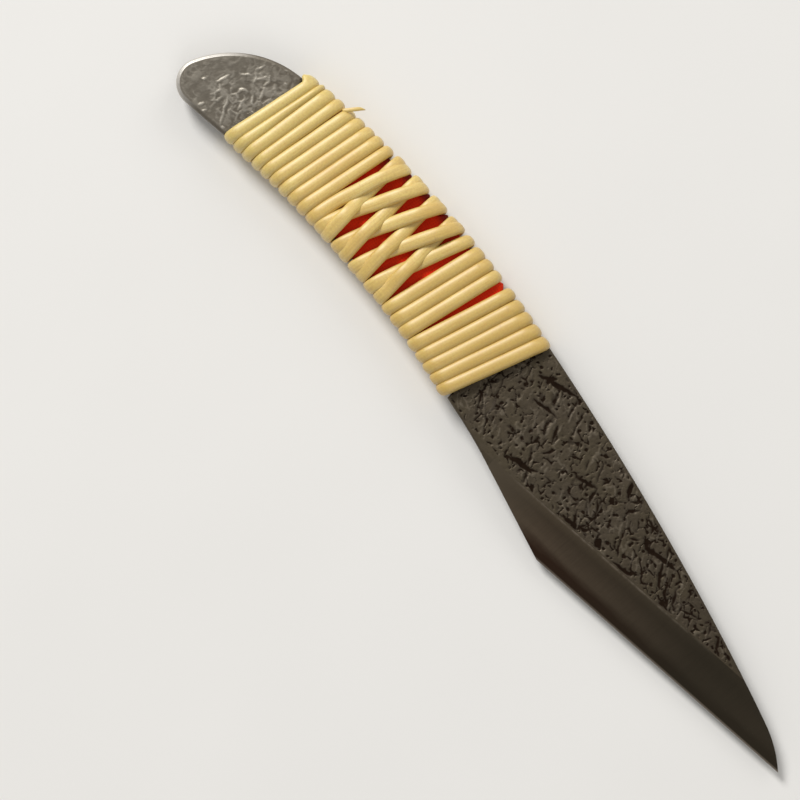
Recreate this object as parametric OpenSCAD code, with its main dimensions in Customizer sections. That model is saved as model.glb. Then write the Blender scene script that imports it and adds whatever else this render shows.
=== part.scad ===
// Kiridashi: a single bevel marking knife. The forging is soft iron with a layer of hard steel on its
// flat back. One rattan strand binds the waisted tang over a red underlay, plain at both ends and
// plaited on the show face in the middle.
// X runs from the tail to the tip, Y from the cutting edge to the spine, Z out of the show face.

/* [Forging] */
// Thickness of the forging
forging_t = 4; // [3.4:0.1:5]
// Thickness of the hard steel layer on the flat back
steel_t = 1.2; // [0.8:0.1:1.6]
// Softened edge of the blade and the tail, seen from above
arris = 0.45; // [0.2:0.05:0.8]
// Width of the polished edge around the round of the tail
tail_arris = 1.1; // [0.5:0.1:1.6]

/* [Tail] */
// Length of bare steel behind the first turn, on the belly side
tail_len = 17.3; // [14:0.1:22]
// Height of the tail's back where the binding starts
tail_back_y = 21.3; // [20.8:0.1:23]
// Slope of the tail's back there, in degrees
tail_back_slope = 8; // [4:0.5:12]
// Radius of the corner between the large curve and the belly
tail_corner_r = 4.8; // [3:0.2:7]
// Height of the tail's belly where the binding starts
tail_belly_y = 0.6; // [0:0.1:2]
// Slope of the tail's belly, in degrees
tail_belly_slope = 8.4; // [4:0.2:12]

/* [Tang] */
// Height of the tang's belly at the top of its bow
tang_belly_y = 4.4; // [4:0.1:5.5]
// Radius of the tang's belly
tang_belly_r = 264; // [220:2:400]
// Height of the tang's back at the top of its bow
tang_back_y = 24.15; // [23.4:0.05:24.6]
// Radius of the tang's back
tang_back_r = 251; // [220:2:400]
// Rounding of the tang's long edges
tang_round = 1.1; // [0.8:0.05:1.15]

/* [Blade] */
// From the last turn's belly end to the heel
heel_reach = 40.4; // [32:0.2:60]
// Height of the heel
heel_y = -8.6; // [-12:0.1:-7]
// Slope of the side between neck and heel, in degrees
heel_slope = 13.6; // [11:0.1:18]
// Length of the cutting edge
edge_len = 69.5; // [55:0.5:90]
// Slope of the cutting edge, in degrees
edge_slope = 7.6; // [5:0.1:10]
// Width of the bevel, square to the cutting edge
bevel_w = 10; // [8:0.1:12]
// Flat left at the cutting edge
edge_land = 0.15; // [0.1:0.05:0.3]
// Height of the spine at the neck
neck_spine_y = 23.35; // [22.8:0.05:24.2]
// Slope of the spine at the neck, in degrees
neck_spine_slope = 7; // [5:0.25:9]
// Radius of the curve between the neck and the straight side above the heel
neck_fillet_r = 110; // [60:5:160]
// Radius of the last drop of the spine into the tip
tip_r = 30; // [20:1:60]
// Depth of the hollow ground into the flat back
hollow_depth = 0.3; // [0.1:0.05:0.5]
// Width of flat left around the hollow
hollow_margin = 2.4; // [1.5:0.1:4]

/* [Rattan] */
// Diameter of the strand
strand_d = 2.2; // [1.8:0.05:2.4]
// Plain turns beside the tail
tail_turns = 9; // [3:1:12]
// Pairs of crossing passes in the plait
plait_pairs = 4; // [2:1:6]
// Plain turns beside the blade
blade_turns = 8; // [4:1:12]
// Gap between plain turns beside the tail
tail_gap = 0.48; // [0.46:0.02:0.8]
// Gap between the passes of the plait at the tang's edges
plait_gap = 0.6; // [0.56:0.02:0.9]
// Gap between plain turns beside the blade
blade_gap = 0.78; // [0.6:0.02:1.2]
// Wider gap before and after the plait
plait_break = 1.1; // [0.8:0.05:1.6]
// Extra gap left on the spine side after this many turns beside the blade
slack_gap = 1; // [0:0.1:1.5]
// Number of turns before the extra gap
slack_turn = 3; // [1:1:3]
// How far the first turn leans toward the blade, from belly to spine
lean_start = 2.4; // [1.5:0.1:3]

/* [Underlay] */
// Thickness of the red underlay
underlay_t = 0.4; // [0.3:0.05:0.6]
// Clearance between the underlay and the tang
underlay_gap = 0.05; // [0.04:0.01:0.1]
// Clearance between the strand and the underlay
strand_gap = 0.15; // [0.1:0.05:0.25]

/* [Hidden] */

// Heights. The binding stands on Z = 0, each turn cut flat there by a tenth of its diameter.
strand_r = strand_d / 2;
STRAND_SIDES = 6;
strand_half = strand_r * cos(180 / STRAND_SIDES);
rest_cut = strand_d / 10;
low_z = strand_r - rest_cut;
skin = underlay_gap + underlay_t;
under_binding = skin + strand_gap + strand_half;
back_z = low_z + under_binding;
face_z = back_z + forging_t;
high_z = face_z + under_binding;

// The binding. A station is one place along the binding, counted from the tail, and each pass over
// the show face runs from a belly station to a spine station.
plait_turns = 2 * plait_pairs + 1;
turns = tail_turns + plait_turns + blade_turns;
plait_first = tail_turns;
blade_first = tail_turns + plait_turns;
first_x = tail_len + strand_r + strand_gap;
tail_pitch = strand_d + tail_gap;
plait_pitch = strand_d + plait_gap;
blade_pitch = strand_d + blade_gap;
tail_fan = 0.02;
plait_fan = 0.12;
blade_fan = 0.2;

function belly_x(s) =
    s < plait_first ? first_x + s * tail_pitch :
    s < blade_first ? belly_x(plait_first - 1) + strand_d + plait_break + (s - plait_first) * plait_pitch :
    belly_x(blade_first - 1) + strand_d + plait_break + (s - blade_first) * blade_pitch;

function lean(s) =
    s < plait_first ? lean_start + tail_fan * s :
    s < blade_first ? lean(plait_first - 1) + plait_fan * (s - plait_first) :
    lean(blade_first - 1) + blade_fan * (s - blade_first + 1) + (s - blade_first < slack_turn ? 0 : slack_gap);

function spine_x(s) = belly_x(s) + lean(s);

last = turns - 1;
middle_x = (belly_x(0) + belly_x(last)) / 2;
belly_peak_x = middle_x - 3.2;
back_peak_x = middle_x + 6.5;

// Height of the tang's belly and back at a place along it, moved out by a distance
function tang_belly(x, out = 0) =
    tang_belly_y - tang_belly_r + sqrt(pow(tang_belly_r - out, 2) - pow(x - belly_peak_x, 2));
function tang_back(x, out = 0) =
    tang_back_y - tang_back_r + sqrt(pow(tang_back_r + out, 2) - pow(x - back_peak_x, 2));

// Plain geometry
function polar(c, r, a) = [c[0] + r * cos(a), c[1] + r * sin(a)];
function arc(c, r, a0, a1, n) = [for (i = [0 : n]) polar(c, r, a0 + (a1 - a0) * i / n)];
function angle_of(v) = atan2(v[1], v[0]);
function unit(v) = v / norm(v);
function mix(a, b, f) = a + (b - a) * f;
// Where a line from p along the unit vector d leaves the circle around c with radius r
function line_circle(p, d, c, r, sign) =
    let (q = p - c, b = q * d, root = sqrt(b * b - q * q + r * r)) p + (-b + sign * root) * d;

// Radius R of the circle that passes through p with its centre along the unit vector d, and is tangent
// from outside to the circle around c: |p + R d - c| = R - r
function tangent_r(p, d, c, r) =
    let (q = p - c) (r * r - q * q) / (2 * (q * d + r));

// Where the waist under the binding starts and ends, on the belly and on the back
shoulder_gap = strand_r + strand_gap;
shoulder_run = 0.3;
tail_belly_x = belly_x(0) - shoulder_gap - shoulder_run;
tail_back_x = spine_x(0) - shoulder_gap - shoulder_run;
neck_belly_x = belly_x(last) + shoulder_gap + shoulder_run;
neck_back_x = spine_x(last) + shoulder_gap + shoulder_run;

// Tail outline. The corner's circle touches X = 0 and the straight belly, and the large curve around
// the back is tangent to it.
belly_up = [-sin(tail_belly_slope), cos(tail_belly_slope)];
tail_belly_end = [tail_belly_x, tail_belly_y];
corner_c = [tail_corner_r,
            tail_belly_y + tail_corner_r / cos(tail_belly_slope)
                + (tail_corner_r - tail_belly_x) * tan(tail_belly_slope)];
tail_back_end = [tail_back_x, tail_back_y];
tail_down = [sin(tail_back_slope), -cos(tail_back_slope)];
tail_back_r = tangent_r(tail_back_end, tail_down, corner_c, tail_corner_r);
tail_c = tail_back_end + tail_back_r * tail_down;
corner_a = angle_of(corner_c - tail_c);

// Blade outline
heel = [belly_x(last) + heel_reach, heel_y];
edge_dir = [cos(edge_slope), sin(edge_slope)];
edge_in = [-sin(edge_slope), cos(edge_slope)];
tip = heel + edge_len * edge_dir;
neck_spine = [neck_back_x, neck_spine_y];
// The spine's circle leaves the neck at the neck's slope and is tangent to the tip's circle, which
// reaches the tip at this angle to the cutting edge
tip_angle = 44;
tip_c = tip + tip_r * [cos(edge_slope - tip_angle + 270), sin(edge_slope - tip_angle + 270)];
spine_down = -[sin(neck_spine_slope), cos(neck_spine_slope)];
spine_r = tangent_r(neck_spine, spine_down, tip_c, tip_r);
spine_c = neck_spine + spine_r * spine_down;
spine_tip_a = angle_of(tip_c - spine_c);
tip_a = angle_of(tip - tip_c);
// Side between the neck and the heel, with a hollow curve at the neck
heel_back = [-cos(heel_slope), sin(heel_slope)];
heel_in = [sin(heel_slope), cos(heel_slope)];
neck_slope = 8;
straight_side = 24;
fillet_c = heel + straight_side * heel_back - neck_fillet_r * heel_in;
fillet_end = polar(fillet_c, neck_fillet_r, 90 - neck_slope);
neck_belly = [neck_belly_x, fillet_end[1] + (fillet_end[0] - neck_belly_x) * tan(neck_slope)];

// Outline of the forging, in one direction from the tail's outermost point. Each stretch is moved in
// by its own distance: bare steel, the round of the tail, and the tang.
TANG_STEPS = 14;
function blade_side(in) = concat(
    [neck_belly + [0, in]],
    [for (a = [neck_slope : (heel_slope - neck_slope) / 5 : heel_slope])
        polar(fillet_c, neck_fillet_r + in, 90 - a)],
    [heel + in * (edge_in + heel_in) / (1 + edge_in * heel_in)]);
function blade_back(in) =
    let (point = line_circle(heel + in * edge_in, edge_dir, tip_c, tip_r - in, 1))
    concat(
        arc(tip_c, tip_r - in, angle_of(point - tip_c), spine_tip_a, 6),
        [for (i = [1 : 12])
            polar(spine_c, spine_r - in, mix(spine_tip_a, 90 - neck_spine_slope, i / 12))]);
function outline(bare, tail, tang) = concat(
    arc(corner_c, tail_corner_r - tail, 180, 270 + tail_belly_slope, 7),
    [tail_belly_end + bare * belly_up],
    [for (i = [0 : TANG_STEPS])
        let (x = mix(tail_belly_x + shoulder_run, neck_belly_x - shoulder_run, i / TANG_STEPS))
        [x, tang_belly(x, -tang)]],
    blade_side(bare),
    blade_back(bare),
    [for (i = [0 : TANG_STEPS])
        let (x = mix(neck_back_x - shoulder_run, tail_back_x + shoulder_run, i / TANG_STEPS))
        [x, tang_back(x, -tang)]],
    arc(tail_c, tail_back_r - tail, 90 + tail_back_slope, corner_a, 16),
    [polar(corner_c, tail_corner_r - tail, (corner_a + 180) / 2)]);

// Triangles across a ring whose first point is its least along X, filled from both sides at once
function turns_left(a, b, c) = cross([b[0] - a[0], b[1] - a[1]], [c[0] - a[0], c[1] - a[1]]) > 0;
function across(ring, i, j) =
    i + 1 >= j ? [] :
    ring[i + 1][0] < ring[j - 1][0] && turns_left(ring[i], ring[i + 1], ring[j])
        || !turns_left(ring[i], ring[j - 1], ring[j])
        ? concat([[i, i + 1, j]], across(ring, i + 1, j))
        : concat([[i, j - 1, j]], across(ring, i, j - 1));

// Closed skin over a stack of rings with equal numbers of points, counterclockwise from above
module stack(rings) {
    n = len(rings[0]);
    top = (len(rings) - 1) * n;
    polyhedron(
        points = [for (r = rings) each r],
        faces = concat(
            across(rings[0], 0, n - 1),
            [for (k = [0 : len(rings) - 2], i = [0 : n - 1])
                let (a = k * n + i, b = k * n + (i + 1) % n) each [[a, b + n, b], [a, a + n, b + n]]],
            [for (t = across(rings[len(rings) - 1], 0, n - 1)) [top + t[2], top + t[1], top + t[0]]]));
}

// The forging at one height, each edge rounded over the height tang_round
ROUND_STEPS = 3;
function forging_ring(z, f) =
    [for (p = outline(arris * f, tail_arris * f, tang_round * f)) [p[0], p[1], z]];
module forging() {
    step = 90 / ROUND_STEPS;
    stack(concat(
        [for (j = [0 : ROUND_STEPS])
            forging_ring(back_z + tang_round * (1 - cos(j * step)), 1 - sin(j * step))],
        [for (j = [ROUND_STEPS : -1 : 0])
            forging_ring(face_z - tang_round * (1 - cos(j * step)), 1 - sin(j * step))]));
}

// Everything above the bevel, which rises from the cutting edge to the show face
bevel_angle = atan((forging_t - edge_land) / bevel_w);
module above_bevel() {
    side = 3 * edge_len;
    translate([heel[0], heel[1], back_z + edge_land])
        rotate([0, 0, edge_slope])
            rotate([bevel_angle, 0, 0])
                translate([-side / 2, -side / 2, 0])
                    cube([2 * side, side, 3 * forging_t]);
}

// The part of the blade that has the steel layer, from a slanting weld line at the neck to the tip
weld_from_neck = 7;
weld_slope = 12;
module steel_zone(h) {
    side = 2 * edge_len;
    translate([neck_belly[0] + weld_from_neck, neck_belly[1], 0])
        rotate(-weld_slope)
            translate([0, -side / 2])
                linear_extrude(h) square([2 * side, side]);
}

// The shallow hollow of the flat back: a wide arc drawn along the blade, kept inside a flat margin
HOLLOW_STEPS = 14;
HOLLOW_OVER = 1.2;
module back_hollow() {
    hollow_half = (neck_spine_y - heel_y) / 2 - hollow_margin;
    hollow_r = (pow(hollow_half, 2) + pow(hollow_depth, 2)) / (2 * hollow_depth);
    reach = asin(HOLLOW_OVER * hollow_half / hollow_r);
    along = angle_of(tip - (neck_belly + neck_spine) / 2);
    intersection() {
        translate([0, 0, back_z - forging_t]) linear_extrude(2 * forging_t)
            polygon(outline(hollow_margin, hollow_margin, 0));
        translate([hollow_margin, 0, back_z - forging_t]) steel_zone(2 * forging_t);
        translate([neck_belly[0], (heel_y + neck_spine_y) / 2, back_z + hollow_depth])
            rotate([90, 0, 90 + along / 2])
                linear_extrude(2 * edge_len)
                    polygon(arc([0, -hollow_r], hollow_r, 90 + reach, 90 - reach, HOLLOW_STEPS));
    }
}

module blade_iron() {
    color("dimgray") difference() {
        forging();
        above_bevel();
        translate([0, 0, back_z - forging_t]) steel_zone(forging_t + steel_t);
    }
}

module blade_steel() {
    color("slategray") difference() {
        intersection() {
            translate([0, 0, back_z]) linear_extrude(steel_t) polygon(outline(0, 0, 0));
            translate([0, 0, back_z]) steel_zone(steel_t);
        }
        above_bevel();
        back_hollow();
    }
}

// Section of the sleeve at a station, a rounded rectangle that leans with the turns
CORNER_STEPS = 2;
function sleeve_ring(s, out) =
    let (
        r = tang_round + out,
        lo = tang_belly(belly_x(s), out),
        hi = tang_back(spine_x(s), out),
        corners = [[hi - r, face_z + out - r, 0], [lo + r, face_z + out - r, 90],
                   [lo + r, back_z - out + r, 180], [hi - r, back_z - out + r, 270]])
    [for (c = corners, i = [0 : CORNER_STEPS])
        let (
            a = c[2] + 90 * i / CORNER_STEPS,
            y = c[0] + r * cos(a),
            z = c[1] + r * sin(a))
        [mix(belly_x(s), spine_x(s), (y - lo) / (hi - lo)), y, z]];

// Tube wall between an outer and an inner stack of rings, open at both ends
module tube_wall(outer, inner) {
    n = len(outer[0]);
    m = len(outer);
    wall = function (k0, k1, i, j) [[k0 + i, k0 + j, k1 + i], [k1 + i, k0 + j, k1 + j]];
    polyhedron(
        points = concat([for (r = outer) each r], [for (r = inner) each r]),
        faces = [for (i = [0 : n - 1])
            let (j = (i + 1) % n)
            each concat(
                [for (k = [0 : m - 2]) each wall(k * n, (k + 1) * n, j, i)],
                [for (k = [0 : m - 2]) each wall((m + k) * n, (m + k + 1) * n, i, j)],
                wall(0, m * n, i, j),
                wall((m - 1) * n, (2 * m - 1) * n, j, i))]);
}

module underlay() {
    stations = [for (s = [0 : 2 : last]) s];
    outer = [for (s = stations) sleeve_ring(s, skin)];
    inner = [for (s = stations) sleeve_ring(s, underlay_gap)];
    color("firebrick") tube_wall(outer, inner);
}

// Stations of a pass. The passes of the plait change places in pairs: an odd pass leaves the belly
// after the next even one and reaches the spine before the last even one.
function belly_slot(k) = k % 2 == 1 ? k + 1 : max(k - 1, 0);
function spine_slot(k) = k % 2 == 1 ? k - 1 : min(k + 1, plait_turns - 1);
function plaited(i) = i >= plait_first && i < blade_first;
function belly_of(i) = belly_x(plaited(i) ? plait_first + belly_slot(i - plait_first) : i);
function spine_of(i) = spine_x(plaited(i) ? plait_first + spine_slot(i - plait_first) : i);

// Share of the way from the belly station to the spine station, at a fraction u of the face
FIRST_SWING = 0.7;
LAST_SWING = 0.45;
ODD_SWING = 0.12;
function swing(k, u) =
    k % 2 == 1 ? u - ODD_SWING * (u - u * u) :
    k == 0 ? mix(u, pow(u, 3.5), FIRST_SWING) :
    k == plait_turns - 1 ? mix(u, 1 - pow(1 - u, 3), LAST_SWING) :
    u;
function plait_x(k, u) = mix(belly_of(plait_first + k), spine_of(plait_first + k), swing(k, u));
// Fraction of the face at which an even pass crosses an odd one
function meeting(even, odd, lo = 0, hi = 1, n = 16) =
    let (m = (lo + hi) / 2)
    n == 0 ? m :
    plait_x(even, m) < plait_x(odd, m) ? meeting(even, odd, m, hi, n - 1) :
    meeting(even, odd, lo, m, n - 1);
// Each pass goes over one neighbour: an odd one over the next even one near the belly, an even one
// over the next odd one near the spine. The last goes over none.
NO_RISE = -9;
rise_at = [for (k = [0 : plait_turns - 1])
    k % 2 == 1 ? meeting(k + 1, k) :
    k < plait_turns - 1 ? meeting(k, k + 1) :
    NO_RISE];
cross_gap = 0.75;
rise_h = strand_d + cross_gap;
rise_half = 3 * strand_d;
RISE_FLAT = 0.33;
function rise(d) =
    let (a = (abs(d) / rise_half - RISE_FLAT) / (1 - RISE_FLAT))
    rise_h * (a >= 1 ? 0 : (1 + cos(180 * max(a, 0))) / 2);

// One turn of the strand, as places and outward directions: around the belly's upper edge, over the
// show face, around both edges of the back and over the flat back to the next turn.
turn_r = tang_round + skin + strand_gap + strand_half;
EDGE_RINGS = 3;
FACE_RINGS = 10;
BACK_RINGS = 2;
edge_out = turn_r / cos(45 / EDGE_RINGS);
edge_arc = turn_r * PI / 2;
wall_half = (high_z - low_z) / 2 - turn_r;
function edge_turns(a0) = [for (j = [0 : EDGE_RINGS - 1]) a0 - 90 * (j + 0.5) / EDGE_RINGS];
function belly_line(x) = tang_belly(x, under_binding) + turn_r;
function back_line(x) = tang_back(x, under_binding) - turn_r;

function face_pass(i) =
    let (
        xa = belly_of(i), xb = spine_of(i), k = i - plait_first, woven = plaited(i),
        ya = belly_line(xa), yb = back_line(xb), span = yb - ya,
        way = span + 2 * (edge_arc + wall_half),
        // Place along X and rise at a distance from the start of the face
        x_at = function (d) woven ? plait_x(k, min(max(d / span, 0), 1)) : mix(xa, xb, (d + edge_arc + wall_half) / way),
        up = function (d) woven ? rise(d - rise_at[k] * span) : 0)
    concat(
        [for (a = edge_turns(180))
            let (d = (90 - a) / 90 * edge_arc, x = x_at(d), r = edge_out + up(d))
            [[x, belly_line(x) + r * cos(a), high_z - turn_r + r * sin(a)], [0, cos(a), sin(a)]]],
        [for (j = [1 : FACE_RINGS])
            let (d = span * j / (FACE_RINGS + 1))
            [[x_at(d), ya + d, high_z + up(d)], [0, 0, 1]]],
        [for (a = edge_turns(90))
            let (d = span + (90 - a) / 90 * edge_arc, x = x_at(d), r = edge_out + up(d))
            [[x, back_line(x) + r * cos(a), high_z - turn_r + r * sin(a)], [0, cos(a), sin(a)]]]);

function back_pass(i) =
    let (
        xa = spine_of(i), xb = belly_of(i + 1),
        ya = back_line(xa), yb = belly_line(xb), span = ya - yb,
        way = span + 2 * (edge_arc + wall_half),
        x_at = function (d) mix(xa, xb, (d + edge_arc + wall_half) / way))
    concat(
        [for (a = edge_turns(0))
            let (x = x_at((-90 - a) / 90 * edge_arc))
            [[x, back_line(x) + edge_out * cos(a), low_z + turn_r + edge_out * sin(a)], [0, cos(a), sin(a)]]],
        [for (j = [1 : BACK_RINGS])
            let (d = span * j / (BACK_RINGS + 1))
            [[x_at(d), ya - d, low_z], [0, 0, -1]]],
        [for (a = edge_turns(-90))
            let (x = x_at(span + (-90 - a) / 90 * edge_arc))
            [[x, belly_line(x) + edge_out * cos(a), low_z + turn_r + edge_out * sin(a)], [0, cos(a), sin(a)]]]);

// The back pass in two halves, with the place where one length of the strand meets the next
HALF_BACK = EDGE_RINGS + BACK_RINGS / 2;
function back_start(i) = let (b = back_pass(i)) [for (j = [0 : HALF_BACK - 1]) b[j]];
function back_finish(i) = let (b = back_pass(i)) [for (j = [HALF_BACK : len(b) - 1]) b[j]];
function back_middle(i) =
    let (b = back_pass(i)) [(b[HALF_BACK - 1][0] + b[HALF_BACK][0]) / 2, [0, 0, -1]];
function strand_places(first, count) = concat(
    [back_middle(first - 1)],
    back_finish(first - 1),
    [for (i = [first : first + count - 1])
        each concat(face_pass(i), i < first + count - 1 ? back_pass(i) : back_start(i))],
    [back_middle(first + count - 1)]);

function strand_ring(place, along) =
    let (
        t = unit(along),
        out = unit(place[1] - (place[1] * t) * t),
        side = cross(out, t))
    [for (a = [0 : 360 / STRAND_SIDES : 359])
        let (v = place[0] + strand_r * (cos(a) * side + sin(a) * out))
        [v[0], v[1], max(v[2], 0)]];

// One unbroken length of the strand, from the middle of one back pass to the middle of another
module strand(first, count) {
    places = strand_places(first, count);
    end = len(places) - 1;
    stack([for (k = [0 : end])
        strand_ring(places[k], places[min(k + 1, end)][0] - places[max(k - 1, 0)][0])]);
}

module rattan_tail_turns() {
    color("wheat") strand(0, tail_turns);
}

module rattan_plait() {
    color("wheat") strand(plait_first, plait_turns);
}

module rattan_blade_turns() {
    color("wheat") strand(blade_first, blade_turns);
}

// The trimmed end of the strand, thinned, which comes out between two turns at the tang's back
end_d = 1;
end_tip_d = 0.8;
end_len = 3.5;
end_turn = 4;
end_lean = 46;
end_place = 48;
end_lift = 0.15;
module rattan_end() {
    x = (spine_x(end_turn - 1) + spine_x(end_turn)) / 2;
    valley = sqrt(pow(strand_r + end_d / 2 + strand_gap, 2) - pow(tail_pitch / 2, 2));
    r = turn_r + valley;
    color("wheat")
        translate([x, back_line(x) + r * cos(end_place), high_z - turn_r + r * sin(end_place) + end_lift])
            rotate([0, 90, end_lean])
                cylinder(d1 = end_d, d2 = end_tip_d, h = end_len, $fn = 24);
}

// Least gap of the strand to itself, measured between points of its middle line, three to a step
GAP_STEPS = 3;
middle_line = [for (i = [0 : last]) each concat(
    [for (f = face_pass(i)) f[0]],
    i < last ? [for (b = back_pass(i)) b[0]] : [])];
fine_line = [for (k = [0 : len(middle_line) - 2], j = [0 : GAP_STEPS - 1])
    mix(middle_line[k], middle_line[k + 1], j / GAP_STEPS)];
turn_points = GAP_STEPS * (2 * EDGE_RINGS + FACE_RINGS + 2 * EDGE_RINGS + BACK_RINGS);
function gap_from(k) =
    min([for (j = [k + turn_points / 2 : min(k + 3.5 * turn_points, len(fine_line) - 1)])
        norm(fine_line[j] - fine_line[k])]);
least_gap = min([for (k = [0 : len(fine_line) - 1 - turn_points]) gap_from(k)]) - strand_d;
echo(str("Least gap of the strand to itself: ", least_gap, " mm"));

// The origin is under the middle of the whole knife, on the surface that it lies on
knife_low = [0, heel[1]];
knife_high = [tip[0], tang_back(back_peak_x, under_binding) + strand_half];
module placed() {
    translate(-[knife_low[0] + knife_high[0], knife_low[1] + knife_high[1], 0] / 2) children();
}

placed() blade_iron();
placed() blade_steel();
placed() underlay();
placed() rattan_tail_turns();
placed() rattan_plait();
placed() rattan_blade_turns();
placed() rattan_end();
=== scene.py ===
"""Kiridashi marking knife: pitted iron forging, hard steel layer, red underlay and rattan binding.

Lengths in the making of the meshes are millimetres in the plan of the knife: X from the tail's end to
the tip, Y from the cutting edge to the spine, Z up from the surface that the knife lies on.
"""
import math

import bpy
import numpy as np
from mathutils import Matrix, Vector


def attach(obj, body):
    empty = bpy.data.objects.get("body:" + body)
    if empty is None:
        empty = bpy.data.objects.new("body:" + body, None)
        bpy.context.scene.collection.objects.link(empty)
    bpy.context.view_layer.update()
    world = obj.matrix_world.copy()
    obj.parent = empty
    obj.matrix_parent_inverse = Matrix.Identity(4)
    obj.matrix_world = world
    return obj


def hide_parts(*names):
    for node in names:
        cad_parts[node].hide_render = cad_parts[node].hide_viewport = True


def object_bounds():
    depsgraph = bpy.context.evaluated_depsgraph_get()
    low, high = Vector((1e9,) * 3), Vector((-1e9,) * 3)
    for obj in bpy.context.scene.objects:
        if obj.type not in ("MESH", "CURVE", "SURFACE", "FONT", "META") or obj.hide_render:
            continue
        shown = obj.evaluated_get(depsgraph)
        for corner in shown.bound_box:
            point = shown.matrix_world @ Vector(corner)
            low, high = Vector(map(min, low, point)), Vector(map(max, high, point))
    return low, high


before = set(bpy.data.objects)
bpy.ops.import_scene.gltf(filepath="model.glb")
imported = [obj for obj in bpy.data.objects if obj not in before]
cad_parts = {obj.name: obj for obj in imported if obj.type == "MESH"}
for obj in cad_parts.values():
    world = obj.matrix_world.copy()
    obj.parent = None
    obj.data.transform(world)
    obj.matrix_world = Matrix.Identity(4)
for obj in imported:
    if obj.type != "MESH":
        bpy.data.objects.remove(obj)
cad_low, cad_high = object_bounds()

MM = 0.001
HEEL_Y = -8.6
PLAN = np.array([cad_low.x / MM, cad_low.y / MM - HEEL_Y, 0.0])

# Heights of the forging, which stands clear of the surface on its binding
BACK_Z = 2.4326
FORGING_T = 4.0
FACE_Z = BACK_Z + FORGING_T
STEEL_T = 1.2
EDGE_LAND = 0.15
BEVEL_W = 10.0
EDGE_SLOPE = math.radians(7.6)
HEEL = (130.25, HEEL_Y)
TIP_END = 199.139
ROUND = 1.1
ARRIS = 0.45

# Tail, tang, neck and spine curves in the plan, with the X where one gives way to the next
TAIL_C = (22.679, -2.031)
TAIL_R = 23.56
TAIL_X = 19
CORNER_C = (5.388, 4.142)
CORNER_R = 5.2
CORNER_X = (0.492, 6.148)
CORNER_REACH = 0.7
CORNER_LINE = 0.357
TAIL_BELLY = (17.0, 0.6)
TAIL_LEAN = math.radians(8.4)
TAIL_SLOPE = math.tan(TAIL_LEAN)
TANG_X = (17.3, 91.1)
BELLY_R = 264
BELLY_C = (51.0, 4.4 - BELLY_R)
BACK_R = 251
BACK_C = (60.7, 24.15 - BACK_R)
BACK_X = (19.5, 97.3)
NECK = (91.4, -0.245)
NECK_SLOPE = math.tan(math.radians(8))
FILLET_C = (81.057, -109.872)
FILLET_R = 110.0
FILLET_X = (96.366, 106.92)
SIDE_SLOPE = math.tan(math.radians(13.6))
SPINE_C = (17.512, -628.26)
SPINE_R = 656.505
TIP_C = (181.337, -23.555)
TIP_R = 30.0
TIP_X = 189.18
# Where the tang's rounding turns into the blade's arris
ARRIS_X = (92, 98)
# A distance in from the outline, beyond every rounding
FAR_IN = 9


def in_scene(name, data):
    """A new object that is linked to the scene."""
    piece = bpy.data.objects.new(name, data)
    bpy.context.scene.collection.objects.link(piece)
    return piece


def plain_mesh(name, points, faces, smooth=True):
    """A mesh object from plan points in millimetres."""
    mesh = bpy.data.meshes.new(name)
    mesh.from_pydata(((np.asarray(points) + PLAN) * MM).tolist(), [], faces)
    mesh.validate()
    mesh.polygons.foreach_set("use_smooth", [smooth] * len(mesh.polygons))
    return in_scene(name, mesh)


def plan_points(piece):
    """The piece's vertices in plan millimetres."""
    points = np.empty(3 * len(piece.data.vertices))
    piece.data.vertices.foreach_get("co", points)
    return points.reshape(-1, 3) / MM - PLAN


def unit(vectors):
    """Rows of vectors, each brought to length 1."""
    return vectors / np.linalg.norm(vectors, axis=1)[:, None]


def tube_rings(centre, side, up, across, rise):
    """Sections around a middle line, from their offsets to the side and up."""
    return centre[:, None, :] + side[:, None, :] * across[:, :, None] + up[:, None, :] * rise[:, :, None]


def tube_faces(rings, sides, closed=False):
    """Quads along rings of equal size, with a flat cap at each end unless the tube is closed."""
    faces = []
    for k in range(rings if closed else rings - 1):
        a, b = k * sides, (k + 1) % rings * sides
        faces += [(a + i, a + (i + 1) % sides, b + (i + 1) % sides, b + i) for i in range(sides)]
    if not closed:
        faces += [tuple(range(sides))[::-1], tuple(range((rings - 1) * sides, rings * sides))]
    return faces


def arc_y(x, centre, radius, side=1):
    """Height of an arc over X, on its upper side or, with side -1, on its lower side."""
    return centre[1] + side * np.sqrt(np.maximum(radius**2 - (x - centre[0]) ** 2, 0))


def ramp(a, b, v):
    """0 where v is up to a and 1 from b, with a smooth change between. b may be less than a."""
    t = np.clip((v - a) / (b - a), 0, 1)
    return t * t * (3 - 2 * t)


def hashed(ix, iy, seed):
    """A number from 0 to 1 that looks random, from a hash of whole numbers."""
    h = (ix.astype(np.int64) * 374761393 + iy.astype(np.int64) * 668265263 + seed * 362437) & 0xFFFFFFFF
    h = ((h ^ (h >> 13)) * 1274126177) & 0xFFFFFFFF
    return ((h ^ (h >> 16)) & 0xFFFFFF) / 0x1000000


def cloud(x, y, size, seed, octaves=2):
    """Smooth noise from 0 to 1 whose largest features are size millimetres."""
    total, weight, sum_w = 0, 1, 0
    for o in range(octaves):
        u, v = x / size * 2**o, y / size * 2**o
        iu, iv = np.floor(u), np.floor(v)
        fu, fv = ramp(0, 1, u - iu), ramp(0, 1, v - iv)
        low = hashed(iu, iv, seed + o) * (1 - fu) + hashed(iu + 1, iv, seed + o) * fu
        high = hashed(iu, iv + 1, seed + o) * (1 - fu) + hashed(iu + 1, iv + 1, seed + o) * fu
        total = total + weight * (low * (1 - fv) + high * fv)
        sum_w += weight
        weight *= 0.5
    return total / sum_w


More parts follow.
